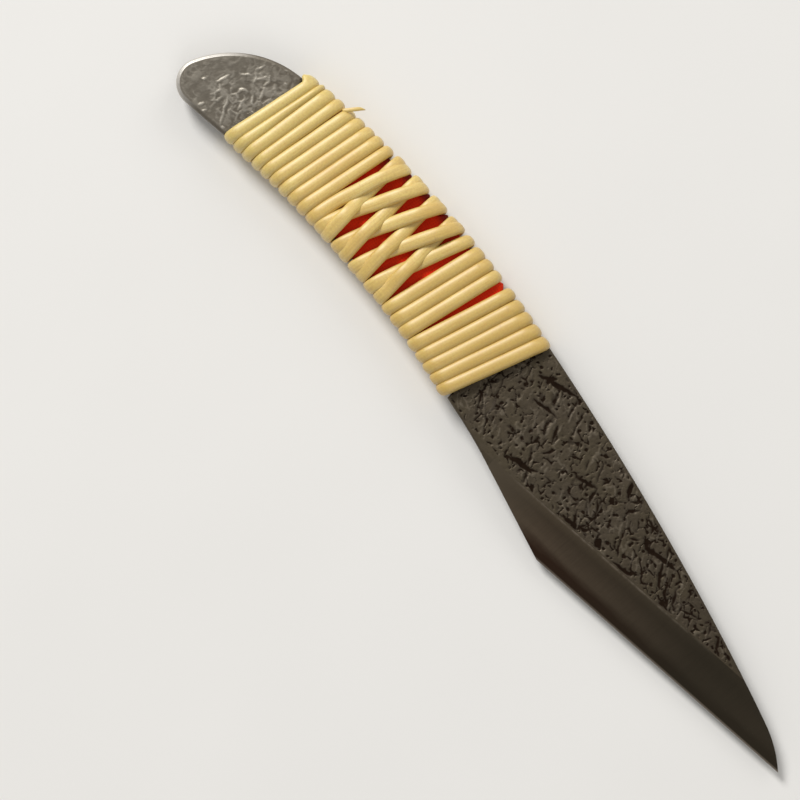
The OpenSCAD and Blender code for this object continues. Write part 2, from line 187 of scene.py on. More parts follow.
def cells(u, v, seed):
    """Distances to the nearest and second nearest scattered point, and the nearest one's number."""
    iu, iv = np.floor(u), np.floor(v)
    first = np.full(u.shape, 9.0)
    second = np.full(u.shape, 9.0)
    number = np.zeros(u.shape)
    for du in (-1, 0, 1):
        for dv in (-1, 0, 1):
            cu, cv = iu + du, iv + dv
            d = np.hypot(cu + hashed(cu, cv, seed) - u, cv + hashed(cu, cv, seed + 7) - v)
            nearer = d < first
            second = np.where(nearer, first, np.minimum(second, d))
            number = np.where(nearer, hashed(cu, cv, seed + 13), number)
            first = np.where(nearer, d, first)
    return first, second, number


def tang_belly(x):
    """Height in the plan of the tang's outline at the belly."""
    return arc_y(x, BELLY_C, BELLY_R)


def tang_back(x):
    """Height in the plan of the tang's outline at the spine."""
    return arc_y(x, BACK_C, BACK_R)


def low_side(x):
    """The outline from the tail along the belly and the neck to the heel and the cutting edge."""
    y = TAIL_BELLY[1] + (x - TAIL_BELLY[0]) * TAIL_SLOPE
    y = np.where(x < CORNER_X[1], arc_y(x, CORNER_C, CORNER_R, -1), y)
    y = np.where(x > TANG_X[0], tang_belly(x), y)
    y = np.where(x > TANG_X[1], NECK[1] - (x - NECK[0]) * NECK_SLOPE, y)
    y = np.where(x > FILLET_X[0], arc_y(x, FILLET_C, FILLET_R), y)
    y = np.where(x > FILLET_X[1], HEEL[1] + (HEEL[0] - x) * SIDE_SLOPE, y)
    return np.where(x > HEEL[0], HEEL[1] + (x - HEEL[0]) * math.tan(EDGE_SLOPE), y)


def high_side(x):
    """The outline from the tail along the spine to the tip."""
    y = np.where(x < CORNER_X[0], arc_y(x, CORNER_C, CORNER_R), arc_y(x, TAIL_C, TAIL_R))
    y = np.where(x > BACK_X[0], tang_back(x), y)
    y = np.where(x > BACK_X[1], arc_y(x, SPINE_C, SPINE_R), y)
    return np.where(x > TIP_X, arc_y(x, TIP_C, TIP_R), y)


def from_edge(x, y):
    """Distance from the line of the cutting edge."""
    return -(x - HEEL[0]) * math.sin(EDGE_SLOPE) + (y - HEEL[1]) * math.cos(EDGE_SLOPE)


def ridge_y(x):
    """Height in the plan of the line where the bevel meets the show face."""
    return HEEL[1] + (x - HEEL[0]) * math.tan(EDGE_SLOPE) + BEVEL_W / math.cos(EDGE_SLOPE)


def inside(x, y):
    """Distance in from the forging's outline, leaving out the cutting edge."""
    step = 0.02
    low, high = low_side(x), high_side(x)
    low_run = np.hypot(1, (low_side(x + step) - low) / step)
    high_run = np.hypot(1, (high_side(np.minimum(x + step, TIP_END)) - high) / step)
    d_low = np.where(x > HEEL[0], FAR_IN, (y - low) / low_run)
    d = np.minimum(d_low, (high - y) / high_run)
    round_d = TAIL_R - np.hypot(x - TAIL_C[0], y - TAIL_C[1])
    corner_d = CORNER_R - np.hypot(x - CORNER_C[0], y - CORNER_C[1])
    in_corner = (x < CORNER_C[0] + CORNER_REACH) & (y < CORNER_C[1] + CORNER_LINE * (CORNER_C[0] - x))
    tail_d = np.where(in_corner, corner_d, np.minimum(round_d, (y - low) * math.cos(TAIL_LEAN)))
    return np.maximum(np.where(x < TAIL_X, tail_d, d), 0)


# The large cracks of the show face by their greatest width, as (x, y) places measured from the first
# visible steel at the tail. They are placed after the photo.
CRACKS = {
    1.2: [
        [(139, 12.2), (141.3, 10.8), (143.3, 11.3), (146, 12.2), (148.3, 12.3)],
        [(103.5, 0), (104.1, -0.5)],
    ],
    1.1: [[(99.4, 18.2), (102.7, 19.4), (106.4, 20.9)], [(106, 1), (108.4, 2), (111.9, 3), (113.2, 3.9)]],
    1.0: [
        [(123.6, 1.6), (125.9, 2.1), (129.4, 3.2), (130.3, 4.8)],
        [(138.5, 3.4), (140.7, 3.8), (142.7, 4.4), (143.8, 5.5)], [(169.9, 8.9), (171, 8.5)],
    ],
    0.9: [
        [(118.7, 9.8), (121.3, 9.9), (124.4, 11.2)], [(124.4, 11.2), (125.2, 8.9), (127.1, 6.3)],
        [(128.5, 17.9), (129.6, 15.7), (130.4, 14.9)], [(120.1, 16.8), (121, 17.6)],
        [(165.6, 10.1), (167.3, 8), (169.1, 7.2)], [(98, 17.6), (99.5, 18.4), (101, 20)],
        [(114.4, 1.3), (116, 0.2)], [(98.3, 11.9), (98.8, 11.4)], [(101.2, 1.9), (101.7, 1.5)],
        [(102.8, 6.1), (103.3, 5.7)], [(121.6, 8.9), (122.2, 8.4)],
    ],
    0.8: [
        [(101.2, 13.6), (104, 14.2), (107.6, 14.6)], [(112.3, 9.8), (111.8, 8.5), (111.1, 7.4)],
        [(146, 11.4), (147.7, 8.7), (149.5, 7.1)], [(126, 1.9), (128.2, 2.6), (128.8, 4.5)],
        [(150, 4.2), (152.7, 4.9), (154.9, 5.4)], [(108.8, 13.7), (109.7, 12), (110.8, 10.1)],
        [(116.8, 8.2), (117.2, 7.7)], [(94.2, 18), (94.8, 17.2)], [(113.2, 18.9), (113.9, 18.6)],
    ],
    0.7: [
        [(110.4, 19.5), (111.5, 16.9), (112.3, 14.6)], [(125.1, 5.1), (126.9, 2.6), (128.1, 1.8)],
        [(134.1, 15.1), (132.7, 13.2), (133, 11.8)],
        [(149.2, 10.5), (150.7, 7.7), (153.3, 5.8), (155.2, 5.7)],
        [(151.9, 10.1), (154, 7.1), (155.4, 6.6)], [(126.2, 9.8), (128.3, 8), (129.4, 6.2)],
        [(137.2, 9.6), (138.8, 10.8)], [(105.6, 8.6), (106, 8.1)], [(115.4, 12.4), (115.8, 12)],
    ],
    0.6: [
        [(107.6, 20.3), (108.3, 18.2), (109.2, 16.4)], [(111.8, 2.7), (113, 0.2)],
        [(126.5, 10.4), (128.7, 8.5), (128.3, 6.7)], [(131.9, 17.4), (132.4, 15.7), (131.2, 14.6)],
        [(136.2, 15.3), (138.3, 15), (139.4, 13.6)], [(109.4, 5.9), (110.8, 3.4)],
    ],
    0.5: [
        [(106.5, 13.3), (107.1, 11.3), (109.2, 9.8)], [(93.5, 11.8), (95, 8.5), (96.8, 5.4), (96.9, 2.4)],
        [(91.5, 9.6), (92.7, 6.1), (95.1, 2.4)], [(115.3, 4.5), (116.8, 4.8), (116.5, 2.4)],
        [(134.9, 10.1), (137, 6.3), (138.4, 4.9)], [(129.9, 5), (132.3, 5.3), (132.8, 3.2)],
        [(162.2, 10.8), (163.8, 8.9)], [(106.9, 14.2), (107.2, 11.7), (108.5, 10.6)],
        [(118.8, 13.7), (119.9, 12)],
    ],
    0.4: [
        [(109.6, 13), (110.5, 11.8), (111.3, 10.2)], [(103.3, 18.2), (104.2, 17.2), (105.3, 15.7)],
        [(121.2, 16.4), (123.5, 11.9)], [(143.6, 15.1), (145.8, 12.5)], [(140.3, 16.1), (140.8, 13.8)],
        [(154.7, 12.8), (155.1, 10.2)], [(128, 13), (129.3, 12.6), (130.4, 13.4)],
        [(155.9, 7.6), (158, 8.7), (159.9, 9.4)],
    ],
    0.3: [[(108.6, 6.5), (110.6, 3.7)]],
}
# The raised lines of the show face and of the tail in the same manner
FACE_LINES = {
    0.6: [[(107.2, 14.5), (107.5, 12.4), (108.5, 9.9)]],
    0.5: [
        [(108, 19.5), (108.4, 17.8), (109.5, 15.8)], [(111.1, 17.8), (111.9, 15.8), (112.8, 14.5)],
        [(112.7, 6.6), (113, 4.9)], [(113.7, 6.2), (114.1, 4.9)], [(109.9, 5.8), (110.9, 3.7)],
        [(112.4, 2), (113.2, -0.1)], [(92.6, 7.8), (93.9, 5.3), (95.4, 4.1)],
        [(95, 7.8), (96.1, 5.8), (97.3, 2.4)], [(98.1, 1.6), (98.8, -0.1)], [(103.7, 18.7), (104.9, 16.6)],
        [(124.9, 9.9), (125.7, 7.4), (127.3, 6.2)], [(126, 4.9), (127.6, 2.4)],
        [(130.2, 17.8), (131, 15.3)], [(144.9, 14), (146, 12)], [(147.2, 11.5), (148.7, 9), (149.8, 8)],
        [(139.4, 8), (141, 6.3)], [(151, 12.5), (152.2, 10.5)], [(140.1, 15), (141, 13.5)],
        [(152.1, 7.5), (154.1, 5)], [(103.4, 12.4), (104.6, 10.2)], [(118.3, 16.2), (119.3, 13.6)],
        [(133.4, 10.4), (134.6, 8.2)],
    ],
    0.4: [[(108.9, 14.5), (109.8, 12.4)], [(110.7, 12.4), (111, 9.9)], [(127, 9.9), (128.4, 7.4)]],
}
TAIL_LINES = {
    0.8: [[(13, 1.1), (13.5, 1.5)]],
    0.7: [[(2.6, 5.1), (3, 5.5)], [(14.1, 15), (14.5, 15.6)], [(13, 19.8), (13.5, 20.4)]],
    0.6: [
        [(10.6, 12.4), (10.3, 13.6), (10.9, 14.6), (11.2, 15.6)], [(5.1, 7), (5.4, 8.2), (5.8, 9.9)],
        [(9.9, 8.8), (9.9, 10.1), (11.1, 10.6)], [(13.9, 11.4), (13.7, 12.6), (12.8, 14)],
        [(12.8, 1.2), (11.6, 2.8), (10.6, 4.3)], [(15, 17.5), (15.4, 18)],
    ],
    0.5: [
        [(8.7, 14.8), (9.1, 15.8), (9.3, 17.2)], [(6.7, 5), (6.8, 6.4), (5.8, 7.1)],
        [(6.3, 0.5), (6.7, 1.9)], [(7.7, 0.2), (8.1, 1.4)], [(10.5, 4.1), (9.7, 5.9), (9, 6.8)],
        [(9, 14.2), (10, 13.8), (10.4, 12.9)],
    ],
    0.4: [
        [(9.2, 7.5), (9.8, 8.5), (10.8, 8.2)], [(11.8, 8.8), (12.6, 6.4)],
        [(7.4, 12), (8.2, 13.2), (8.9, 13.4)], [(11.6, 16.6), (12.4, 15.4), (12.5, 14)],
        [(7.3, 3.4), (8.3, 4.6), (8.2, 5.8)], [(12.3, 10.9), (13.4, 9.6), (14.3, 9.3)],
    ],
}


# The X in the plan of the first visible steel at the tail, which the measured places start from
SHIFT = 2.55
# The direction of the cracks and lines, and the stretches along X where they get denser and sparser
MARKS_TURN = math.radians(-58)
DENSE_X = (126, 136)
SPARSE_X = (158, 166)
# Length and width of the fields between cracks and between raised lines
CRACK_FIELD = (2.9, 1.7)
LINE_FIELD = (3.4, 1.5)
# Pits: distance from one to the next, shift of their pattern, least size, growth, share left out, depth
# and seed
PITS = [(1.5, 0, 0.2, 0.38, 0.4, 1.0, 61), (0.6, 9, 0.1, 0.12, 0.7, 0.5, 67)]
# The raised lines stand a little to the tip's side of the cracks, and are slimmer than measured
LINE_SHIFT = 0.4
LINE_SHARE = 0.9
LINE_SOFT = 0.18
CRACK_DEPTH = 0.17
WORM_HEIGHT = 0.07
TAIL_WORM_HEIGHT = 0.10


def stroke(x, y, places, width, soft):
    """Depth from 0 to 1 of a crack or a line that tapers to both ends."""
    places = np.array(places) + (SHIFT, 0)
    legs = np.linalg.norm(np.diff(places, axis=0), axis=1)
    start = np.concatenate([[0], np.cumsum(legs)])
    depth = np.zeros(x.shape)
    reach = 1.5
    low, high = places.min(0) - reach, places.max(0) + reach
    near = (x > low[0]) & (x < high[0]) & (y > low[1]) & (y < high[1])
    px, py = x[near], y[near]
    ragged = 0.45 + 1.1 * cloud(px, py, 0.9, 43)
    best = np.zeros(px.shape)
    for (ax, ay), (bx, by), leg, s in zip(places[:-1], places[1:], legs, start):
        f = np.clip(((px - ax) * (bx - ax) + (py - ay) * (by - ay)) / leg**2, 0, 1)
        d = np.hypot(ax + (bx - ax) * f - px, ay + (by - ay) * f - py)
        along = (s + f * leg) / start[-1]
        half = ragged * width / 2 * (0.4 + 0.6 * np.sin(math.pi * along))
        best = np.maximum(best, ramp(half + soft, half - soft, d))
    depth[near] = best * (0.7 + 0.5 * cloud(px, py, 1.4, 41))
    return depth


def strokes(x, y, lines, share=1.0, soft=0.25):
    """The deepest of many strokes at each place."""
    depth = np.zeros(x.shape)
    for width, group in lines.items():
        for places in group:
            depth = np.maximum(depth, stroke(x, y, places, share * width, soft))
    return depth


def face_cracks(x, y, warp, grain):
    """Cracks along the borders of long fields, and pits of two sizes."""
    dense, sparse = ramp(*DENSE_X, x), ramp(*SPARSE_X, x)
    f1, f2, _ = cells(grain[0] / CRACK_FIELD[0], grain[1] / CRACK_FIELD[1], 21)
    start = 0.50 - 0.10 * dense + 0.06 * sparse
    width = (0.26 + 0.07 * dense) * ramp(start, 0.68, cloud(x, y, 1.9, 31))
    crack = ramp(1, 0.15, (f2 - f1) / np.maximum(width, 0.001))
    for pitch, shift, least, growth, left_out, depth, seed in PITS:
        f1, _, number = cells(warp[0] / pitch + shift, warp[1] / pitch, seed)
        size = least + growth * number
        crack = np.maximum(crack, depth * ramp(size, 0.4 * size, f1 * pitch) * (number > left_out))
    return crack * (0.55 + 0.45 * ramp(0.25, 0.48, cloud(x, y, 0.8, 101)))


def tail_lines(x, y, warp, band):
    """Fine raised lines and grains of the tail, fewer toward its rim."""
    fine = ramp(0.55, 0.95, 1 - np.abs(2 * cloud(*warp, 1.3, 87) - 1))
    grain = ramp(0.5, 0.8, cloud(*warp, 0.8, 97))
    lines = np.maximum(fine * ramp(0.4, 0.62, cloud(x, y, 1.7, 89)), 0.6 * grain)
    lines = np.maximum(lines, band * ramp(0.47, 0.6, cloud(x, y, 2.6, 99)))
    return lines * (0.27 + 0.3 * ramp(6, 10, x) * ramp(1, 5, inside(x, y)))


def on_face(x, y):
    """1 on the show face of the blade and 0 off it, with a ragged border above the bevel."""
    low = BEVEL_W + 0.1 + (1.1 + 0.8 * cloud(x, y, 2.5, 93)) * ramp(116, 104, x)
    there = ramp(88, 92, x) * ramp(0, 0.35, from_edge(x, y) - low)
    there = there * ramp(0.1, 0.5, inside(x, y) - 0.3 * cloud(x, y, 3, 95))
    return there * ramp(178, 172, x)


def on_tail(x, y):
    """1 on the tail within its polished rim and 0 off it."""
    rim = np.interp(x, [4, 12], [0.8, 0.3])
    return ramp(21, TAIL_X, x) * ramp(0, 0.6, inside(x, y) - rim)


def marks(x, y):
    """Marks of forging and etching: cracks and pits, and the raised worm-like lines between them."""
    jag_x, jag_y = 0.55 * (cloud(x, y, 0.8, 4) - 0.5), cloud(x, y, 0.8, 6) - 0.5
    wx = x + 1.2 * (cloud(x, y, 2.4, 3) - 0.5) + jag_x
    wy = y + 1.2 * (cloud(x, y, 2.4, 5) - 0.5) + 0.55 * jag_y
    u = wx * math.cos(MARKS_TURN) + wy * math.sin(MARKS_TURN)
    v = -wx * math.sin(MARKS_TURN) + wy * math.cos(MARKS_TURN)
    jx, jy = x + 0.8 * jag_x, y + 0.5 * jag_y
    f1, f2, _ = cells(u / LINE_FIELD[0], v / LINE_FIELD[1], 81)
    band = ramp(0.2, 0.04, f2 - f1)
    crack = np.maximum(face_cracks(x, y, (wx, wy), (u, v)), strokes(jx, jy, CRACKS))
    raised = strokes(jx - LINE_SHIFT, jy, FACE_LINES, LINE_SHARE, LINE_SOFT)
    crack = crack * (1 - 0.5 * raised)
    worm = np.maximum(0.75 * band * ramp(0.50, 0.64, cloud(x, y, 2.6, 83)) * (1 - crack), raised)
    tail_worm = strokes(jx, jy, TAIL_LINES, LINE_SHARE, LINE_SOFT)
    tail_worm = np.maximum(tail_lines(x, y, (wx, wy), band), tail_worm)
    face = on_face(x, y)
    return {
        "crack": crack * face,
        "worm": worm * face,
        "tail_worm": tail_worm * on_tail(x, y),
        "rim": ramp(0.95, 0.55, inside(x, y)) * ramp(10, 3, x),
    }


def edge_radius(x):
    """Radius of the forging's long edges, on the tang and on the blade."""
    return np.interp(x, ARRIS_X, [ROUND, ARRIS])


def edge_drop(x, y):
    """Fall of the rounded edges: a polished slope around the tail, a small round elsewhere."""
    d = inside(x, y)
    soft = np.where(x < TAIL_X, 0.35, edge_radius(x))
    drop = soft * (1 - np.sqrt(1 - np.clip(1 - d / soft, 0, 1) ** 2))
    slope = np.interp(x, [4, 12], [0.55, 0.2]) * np.clip(0.8 - d, 0, 0.8) * ramp(0.85, 0.4, d)
    return drop + np.where(x < TAIL_X, slope, 0)


def top_z(x, y):
    """Height of the upper surface: show face, bevel and rounded edges, with the marks cut in."""
    m = marks(x, y)
    relief = -CRACK_DEPTH * m["crack"] + WORM_HEIGHT * m["worm"] + TAIL_WORM_HEIGHT * m["tail_worm"]
    uneven = 0.07 * (cloud(x, y, 5, 17) - 0.5) + 0.05 * (cloud(x, y, 1.6, 19) - 0.5)
    uneven = uneven + 0.07 * (cloud(x, y, 0.9, 23) - 0.5) * ramp(86, 90, x) * (1 - m["crack"])
    relief = relief + uneven * ramp(0.3, 1.5, inside(x, y))
    bevel = BACK_Z + EDGE_LAND + from_edge(x, y) * (FORGING_T - EDGE_LAND) / BEVEL_W
    return np.minimum(FACE_Z - edge_drop(x, y) + relief, bevel)


# Points of a section of the forging on the bevel, the show face and the back
BEVEL_POINTS = 26
FACE_POINTS = 126
BACK_POINTS = 19
# Heights between which the tail's bright rim fades, the X where the bevel's finish starts, and the angle
# from which an edge shows as sharp
RIM_Z = (FACE_Z - 1.6, FACE_Z - 0.7)
BEVEL_X = 108
SHARP = math.radians(48)
# The slanting line at the neck where the steel layer starts
WELD_LEAN = math.radians(12)
WELD_STEP = 7


def forging_x():
    """Places of the forging's sections, close together where marks show."""
    step = 0.2
    return np.concatenate([
        CORNER_C[0] - CORNER_R * np.cos(np.linspace(0.06, math.pi / 2, 36)),
        np.arange(5.55, 19.6, step),
        np.linspace(19.8, 90.8, 30),
        np.arange(91.1, 178, step),
        np.linspace(178.2, TIP_END - 0.02, 60),
    ])


def forging_rings():
    """Sections of the forging: up the bevel and over the show face, and back around the flat back."""
    x = forging_x()
    low, high = low_side(x), high_side(x)
    share = np.clip((ridge_y(x) - low) / (high - low), 0.14, 0.975)
    lower = np.linspace(0, 1, BEVEL_POINTS + 1)[:-1]
    upper = np.linspace(0, 1, FACE_POINTS)
    upper = upper - 0.4 * np.sin(2 * math.pi * upper) / (2 * math.pi)
    t = np.concatenate([share[:, None] * lower, share[:, None] + (1 - share[:, None]) * upper], axis=1)
    ty = low[:, None] + (high - low)[:, None] * t
    tx = np.repeat(x[:, None], t.shape[1], axis=1)
    tz = top_z(tx.ravel(), ty.ravel()).reshape(ty.shape)
    back = (1 + np.cos(np.linspace(0, math.pi, BACK_POINTS))) / 2
    by = low[:, None] + (high - low)[:, None] * back
    bx = np.repeat(x[:, None], len(back), axis=1)
    rest = np.clip(1 - inside(bx.ravel(), by.ravel()).reshape(by.shape) / edge_radius(bx), 0, 1)
    bz = BACK_Z + ROUND * (1 - np.sqrt(1 - rest**2)) * (1 - ramp(104, 106, bx))
    return np.concatenate([np.stack([tx, ty, tz], 2), np.stack([bx, by, bz], 2)], axis=1)


def make_forging():
    """The iron with its marks, without the space of the hard steel layer."""
    rings = forging_rings()
    piece = plain_mesh("forged_iron", rings.reshape(-1, 3), tube_faces(*rings.shape[:2]))
    cutter = steel_cutter()
    cut = piece.modifiers.new("weld", "BOOLEAN")
    cut.operation, cut.object, cut.solver = "DIFFERENCE", cutter, "EXACT"
    bpy.context.view_layer.update()
    graph = bpy.context.evaluated_depsgraph_get()
    whole = bpy.data.meshes.new_from_object(piece.evaluated_get(graph))
    piece.modifiers.clear()
    whole.materials.clear()
    piece.data = whole
    bpy.data.objects.remove(cutter)
    points = plan_points(piece)
    found = marks(points[:, 0], points[:, 1])
    found["rim"] *= ramp(*RIM_Z, points[:, 2])
    for name, values in found.items():
        piece.data.attributes.new(name, "FLOAT", "POINT").data.foreach_set("value", values)
    centres = np.empty(3 * len(piece.data.polygons))
    piece.data.polygons.foreach_get("center", centres)
    centres = centres.reshape(-1, 3) / MM - PLAN
    on_bevel = (from_edge(centres[:, 0], centres[:, 1]) < BEVEL_W) & (centres[:, 0] > BEVEL_X)
    on_bevel &= centres[:, 2] > BACK_Z + STEEL_T + 0.01
    piece.data.polygons.foreach_set("material_index", on_bevel.astype(int))
    piece.data.polygons.foreach_set("use_smooth", [True] * len(centres))
    piece.data.set_sharp_from_angle(angle=SHARP)
    return piece


def steel_cutter():
    """The space of the hard steel layer, behind a slanting weld line at the neck."""
    lean = math.tan(WELD_LEAN)
    start = NECK[0] + WELD_STEP * math.cos(WELD_LEAN)
    low, high, right, under = -40, 60, 260, -2
    corners = [
        (start + (low - NECK[1]) * lean, low), (right, low),
        (right, high), (start + (high - NECK[1]) * lean, high),
    ]
    points = [(cx, cy, z) for z in (under, BACK_Z + STEEL_T) for cx, cy in corners]
    faces = [(3, 2, 1, 0), (4, 5, 6, 7), (0, 1, 5, 4), (1, 2, 6, 5), (2, 3, 7, 6), (3, 0, 4, 7)]
    return plain_mesh("steel_space", points, faces, smooth=False)


# The binding: thickness of wrap and strand, and the rounds of the strand's middle line at the tang's edges
SKIN = 0.45
STRAND_T = 1.92
SEAT = SKIN + 0.01 + STRAND_T / 2
TURN_R = ROUND + SEAT
TOP_C = FACE_Z - ROUND
LOW_C = BACK_Z + ROUND
# Middles of the plain turns along X, at the belly's height PLACES_Y and, PLACES_RISE higher, at the spine
PLACES_Y = 2.0
PLACES_RISE = 23.0
TAIL_TURNS = [
    (16.15, 19.2), (18.65, 21.0), (21.25, 23.3), (24.0, 26.1), (26.5, 29.25), (29.2, 32.0), (32.0, 34.8),
    (34.7, 37.5), (37.5, 40.4),
]
BLADE_TURNS = [
    (65.8, 69.8), (69.0, 72.9), (72.1, 75.9), (75.5, 80.85), (78.6, 84.1), (81.5, 87.3), (84.4, 90.6),
    (87.2, 94.0),
]
# Paths of the plaited passes as (y, x), in the order in which the strand makes them
PLAIT = [
    [(2.5, 40.5), (10, 41.5), (15, 42.8), (20, 44.0), (25.5, 45.95)],
    [(2.5, 45.5), (10, 44.9), (15, 44.4), (20, 43.95), (25.5, 43.8)],
    [(2.5, 43.1), (9, 44.7), (15, 47.1), (20, 49.05), (25.5, 51.5)],
    [(2.5, 51.2), (10, 50.5), (15, 50.25), (20, 49.75), (25.5, 49.5)],
    [(2.5, 48.6), (9, 50.35), (15, 52.7), (20, 54.65), (25.5, 57.1)],
    [(2.5, 56.9), (10, 56.2), (15, 55.95), (20, 55.45), (25.5, 55.25)],
    [(2.5, 54.35), (9, 56.0), (15, 58.4), (20, 60.4), (25.5, 62.9)],
    [(2.5, 63.05), (10, 62.35), (15, 62.05), (20, 61.35), (25.5, 61.1)],
    [(2.5, 59.8), (9, 61.3), (15, 63.2), (20, 64.65), (25.5, 66.4)],
]
# Where each plaited pass goes over a neighbour: height in the plan, and the rise's reach below and above
OVER = [
    (19.5, 10, 6), (9, 5.8, 4), *[(20.5, 7, 6), (10, 5.8, 5)] * 2, (20.5, 7, 6), (10.5, 5.8, 5), None,
]
# Where each one goes under a neighbour in the same manner, with how far it is pressed down
UNDER = [
    None, (19.5, 3.2, 4.5, 0.2), *[(10, 3.2, 4.5, 0.2), (20.5, 3.2, 4.5, 0.2)] * 3, (12, 3.2, 6, 0.4),
]
# Rise of a pass over a neighbour, and how much thinner it gets over one and under one
OVER_LIFT = 1.5
OVER_THIN = 0.1
UNDER_THIN = 0.2
# Heights between which a pass flattens toward the spine and toward the belly, where two merge into a fan
SPINE_FAN = (20.5, 23.5)
BELLY_FAN = (9.5, 6.0)
BELLY_FLAT = 0.9
# Share of its slope that a plaited pass keeps beyond its path's ends
BEYOND_SHARE = 0.3
# Numbers of the first plaited pass, the first turn beside the blade and the last turn
PLAITED = len(TAIL_TURNS)
BLADEWARD = PLAITED + len(PLAIT)
LAST = BLADEWARD + len(BLADE_TURNS) - 1


def face_x(i, y):
    """Place along X of pass i where it is at height y on the show face."""
    if i < PLAITED:
        a, b = TAIL_TURNS[i]
    elif i >= BLADEWARD:
        a, b = BLADE_TURNS[i - BLADEWARD]
    else:
        path = np.array(PLAIT[i - PLAITED])
        slopes = np.gradient(path[:, 1], path[:, 0])
        k = np.clip(np.searchsorted(path[:, 0], y) - 1, 0, len(path) - 2)
        run = path[k + 1, 0] - path[k, 0]
        t = (y - path[k, 0]) / run
        inner = (
            (2 * t**3 - 3 * t**2 + 1) * path[k, 1] + (t**3 - 2 * t**2 + t) * run * slopes[k]
            + (3 * t**2 - 2 * t**3) * path[k + 1, 1] + (t**3 - t**2) * run * slopes[k + 1]
        )
        below = path[0, 1] + (y - path[0, 0]) * slopes[0] * BEYOND_SHARE
        above = path[-1, 1] + (y - path[-1, 0]) * slopes[-1] * BEYOND_SHARE
        return np.where((t < 0) | (t > 1), np.where(t < 0, below, above), inner) + SHIFT
    return a + (b - a) * (y - PLACES_Y) / PLACES_RISE + SHIFT


def hill(y, top, before, after):
    """A smooth rise to 1 and back to 0 again around one place."""
    d = y - top
    return 0.5 * (1 + np.cos(math.pi * np.clip(np.where(d < 0, d / before, d / after), -1, 1)))


# Widths at the belly and at the spine of turns that don't just touch and of the plait, and on the back
OWN_WIDTH = {
    0: (2.9, 2.7), 1: (2.65, 1.65), 2: (2.95, 3.25), 3: (2.75, 2.85), 4: (2.8, 2.9), 8: (3.0, 2.75),
    BLADEWARD: (3.1, 3.4),
}
PLAIT_WIDTH = (3.15, 2.95)
BACK_WIDTH = 2.7


def spacing(turns, k):
    """Widths at the belly and at the spine with which a plain turn touches its neighbours."""
    steps = np.diff(turns, axis=0)[max(k - 1, 0):k + 1]
    widest = np.where(np.max(steps, axis=0) > 4, 3.0, 3.3)
    return np.clip(np.min(steps, axis=0) * 1.08, 2.2, widest)


def turn_width(i):
    """Widths of pass i at the belly and at the spine."""
    if i in OWN_WIDTH:
        return np.array(OWN_WIDTH[i])
    if i < PLAITED:
        return spacing(TAIL_TURNS, i)
    return spacing(BLADE_TURNS, i - BLADEWARD) if i >= BLADEWARD else np.array(PLAIT_WIDTH)


# Points of a pass over the face, more in the first one for its flare, over the back, and of a section
PASS_POINTS = 36
FIRST_PASS_POINTS = 140
UNDER_POINTS = 16
LAST_POINTS = 16
SIDES = 18
# A height in the middle of the tang, and how far from a pass's middle it meets the belly and the spine
MIDDLE_Y = 12.0
BELLY_STEP = 1
SPINE_STEP = 2
# How much the hidden beginning leans, and how far along X the last pass gets on the back
LEAD_SLOPE = 0.04
LAST_LEAN = 1
# Weights of a point and its neighbours in the smoothed middle line
SMOOTHING = [0.12, 0.24, 0.28, 0.24, 0.12]
# How far the middle line wanders along X, and how much the width changes
WANDER = 0.10
WIDTH_CHANGE = 0.04
# The flare of the tucked beginning: where it rises and ends in the plan's height, its fall and reach, and
# the X below and the Z above which it lies
FLARE_RISE = (20.6, 21.7)
FLARE_END = 23.6
FLARE_FALL = 1.9
FLARE_REACH = 1.35
FLARE_X = 22.6
FLARE_Z = 5.0
# Least height of the strand over the surface below it
FLOOR_GAP = 0.02


def edge_points(y, z, start, end):
    """Places and outward directions around one rounded long edge of the tang."""
    angles = np.radians(np.linspace(start, end, 9))
    return [(y + TURN_R * math.cos(a), z + TURN_R * math.sin(a), math.cos(a), math.sin(a)) for a in angles]


def pass_shape(i, y):
    """Thickness, lift and flatness of pass i at height y on the show face."""
    thick, lift, flat = STRAND_T, 0.0, 0.0
    k = i - PLAITED
    if not 0 <= k < len(PLAIT):
        return thick, lift, flat
    if OVER[k]:
        rise = hill(y, *OVER[k])
        lift += OVER_LIFT * rise
        thick *= 1 - OVER_THIN * rise
    if UNDER[k]:
        *reach, depth = UNDER[k]
        press = hill(y, *reach)
        lift -= depth * press
        thick *= 1 - UNDER_THIN * press
    if k < len(PLAIT) - 1:
        flat = float(ramp(*SPINE_FAN, y))
    if k > 0:
        flat = max(flat, BELLY_FLAT * float(ramp(*BELLY_FAN, y)))
    return thick, lift, flat


def edge_centres(i):
    """Heights in the plan of the tang's rounded edges where pass i goes around them."""
    middle = float(face_x(i, MIDDLE_Y))
    return tang_belly(middle - BELLY_STEP) + ROUND, tang_back(middle + SPINE_STEP) - ROUND


def face_rows(i):
    """Rows of pass i over the show face, from the belly to the spine."""
    belly, back = edge_centres(i)
    wide = turn_width(i)
    count = PASS_POINTS if i else FIRST_PASS_POINTS
    face = edge_points(belly, TOP_C, 180, 90)[:-1]
    face += [(y, TOP_C + TURN_R, 0.0, 1.0) for y in np.linspace(belly, back, count)]
    face += edge_points(back, TOP_C, 90, 0)[1:]
    rows = []
    for y, z, ny, nz in face:
        thick, lift, flat = pass_shape(i, y)
        width = wide[0] + (wide[1] - wide[0]) * (y - belly) / (back - belly)
        x = float(face_x(i, np.array(y)))
        rows.append((x, y + ny * lift, z + nz * lift, ny, nz, width, thick, flat))
    return rows


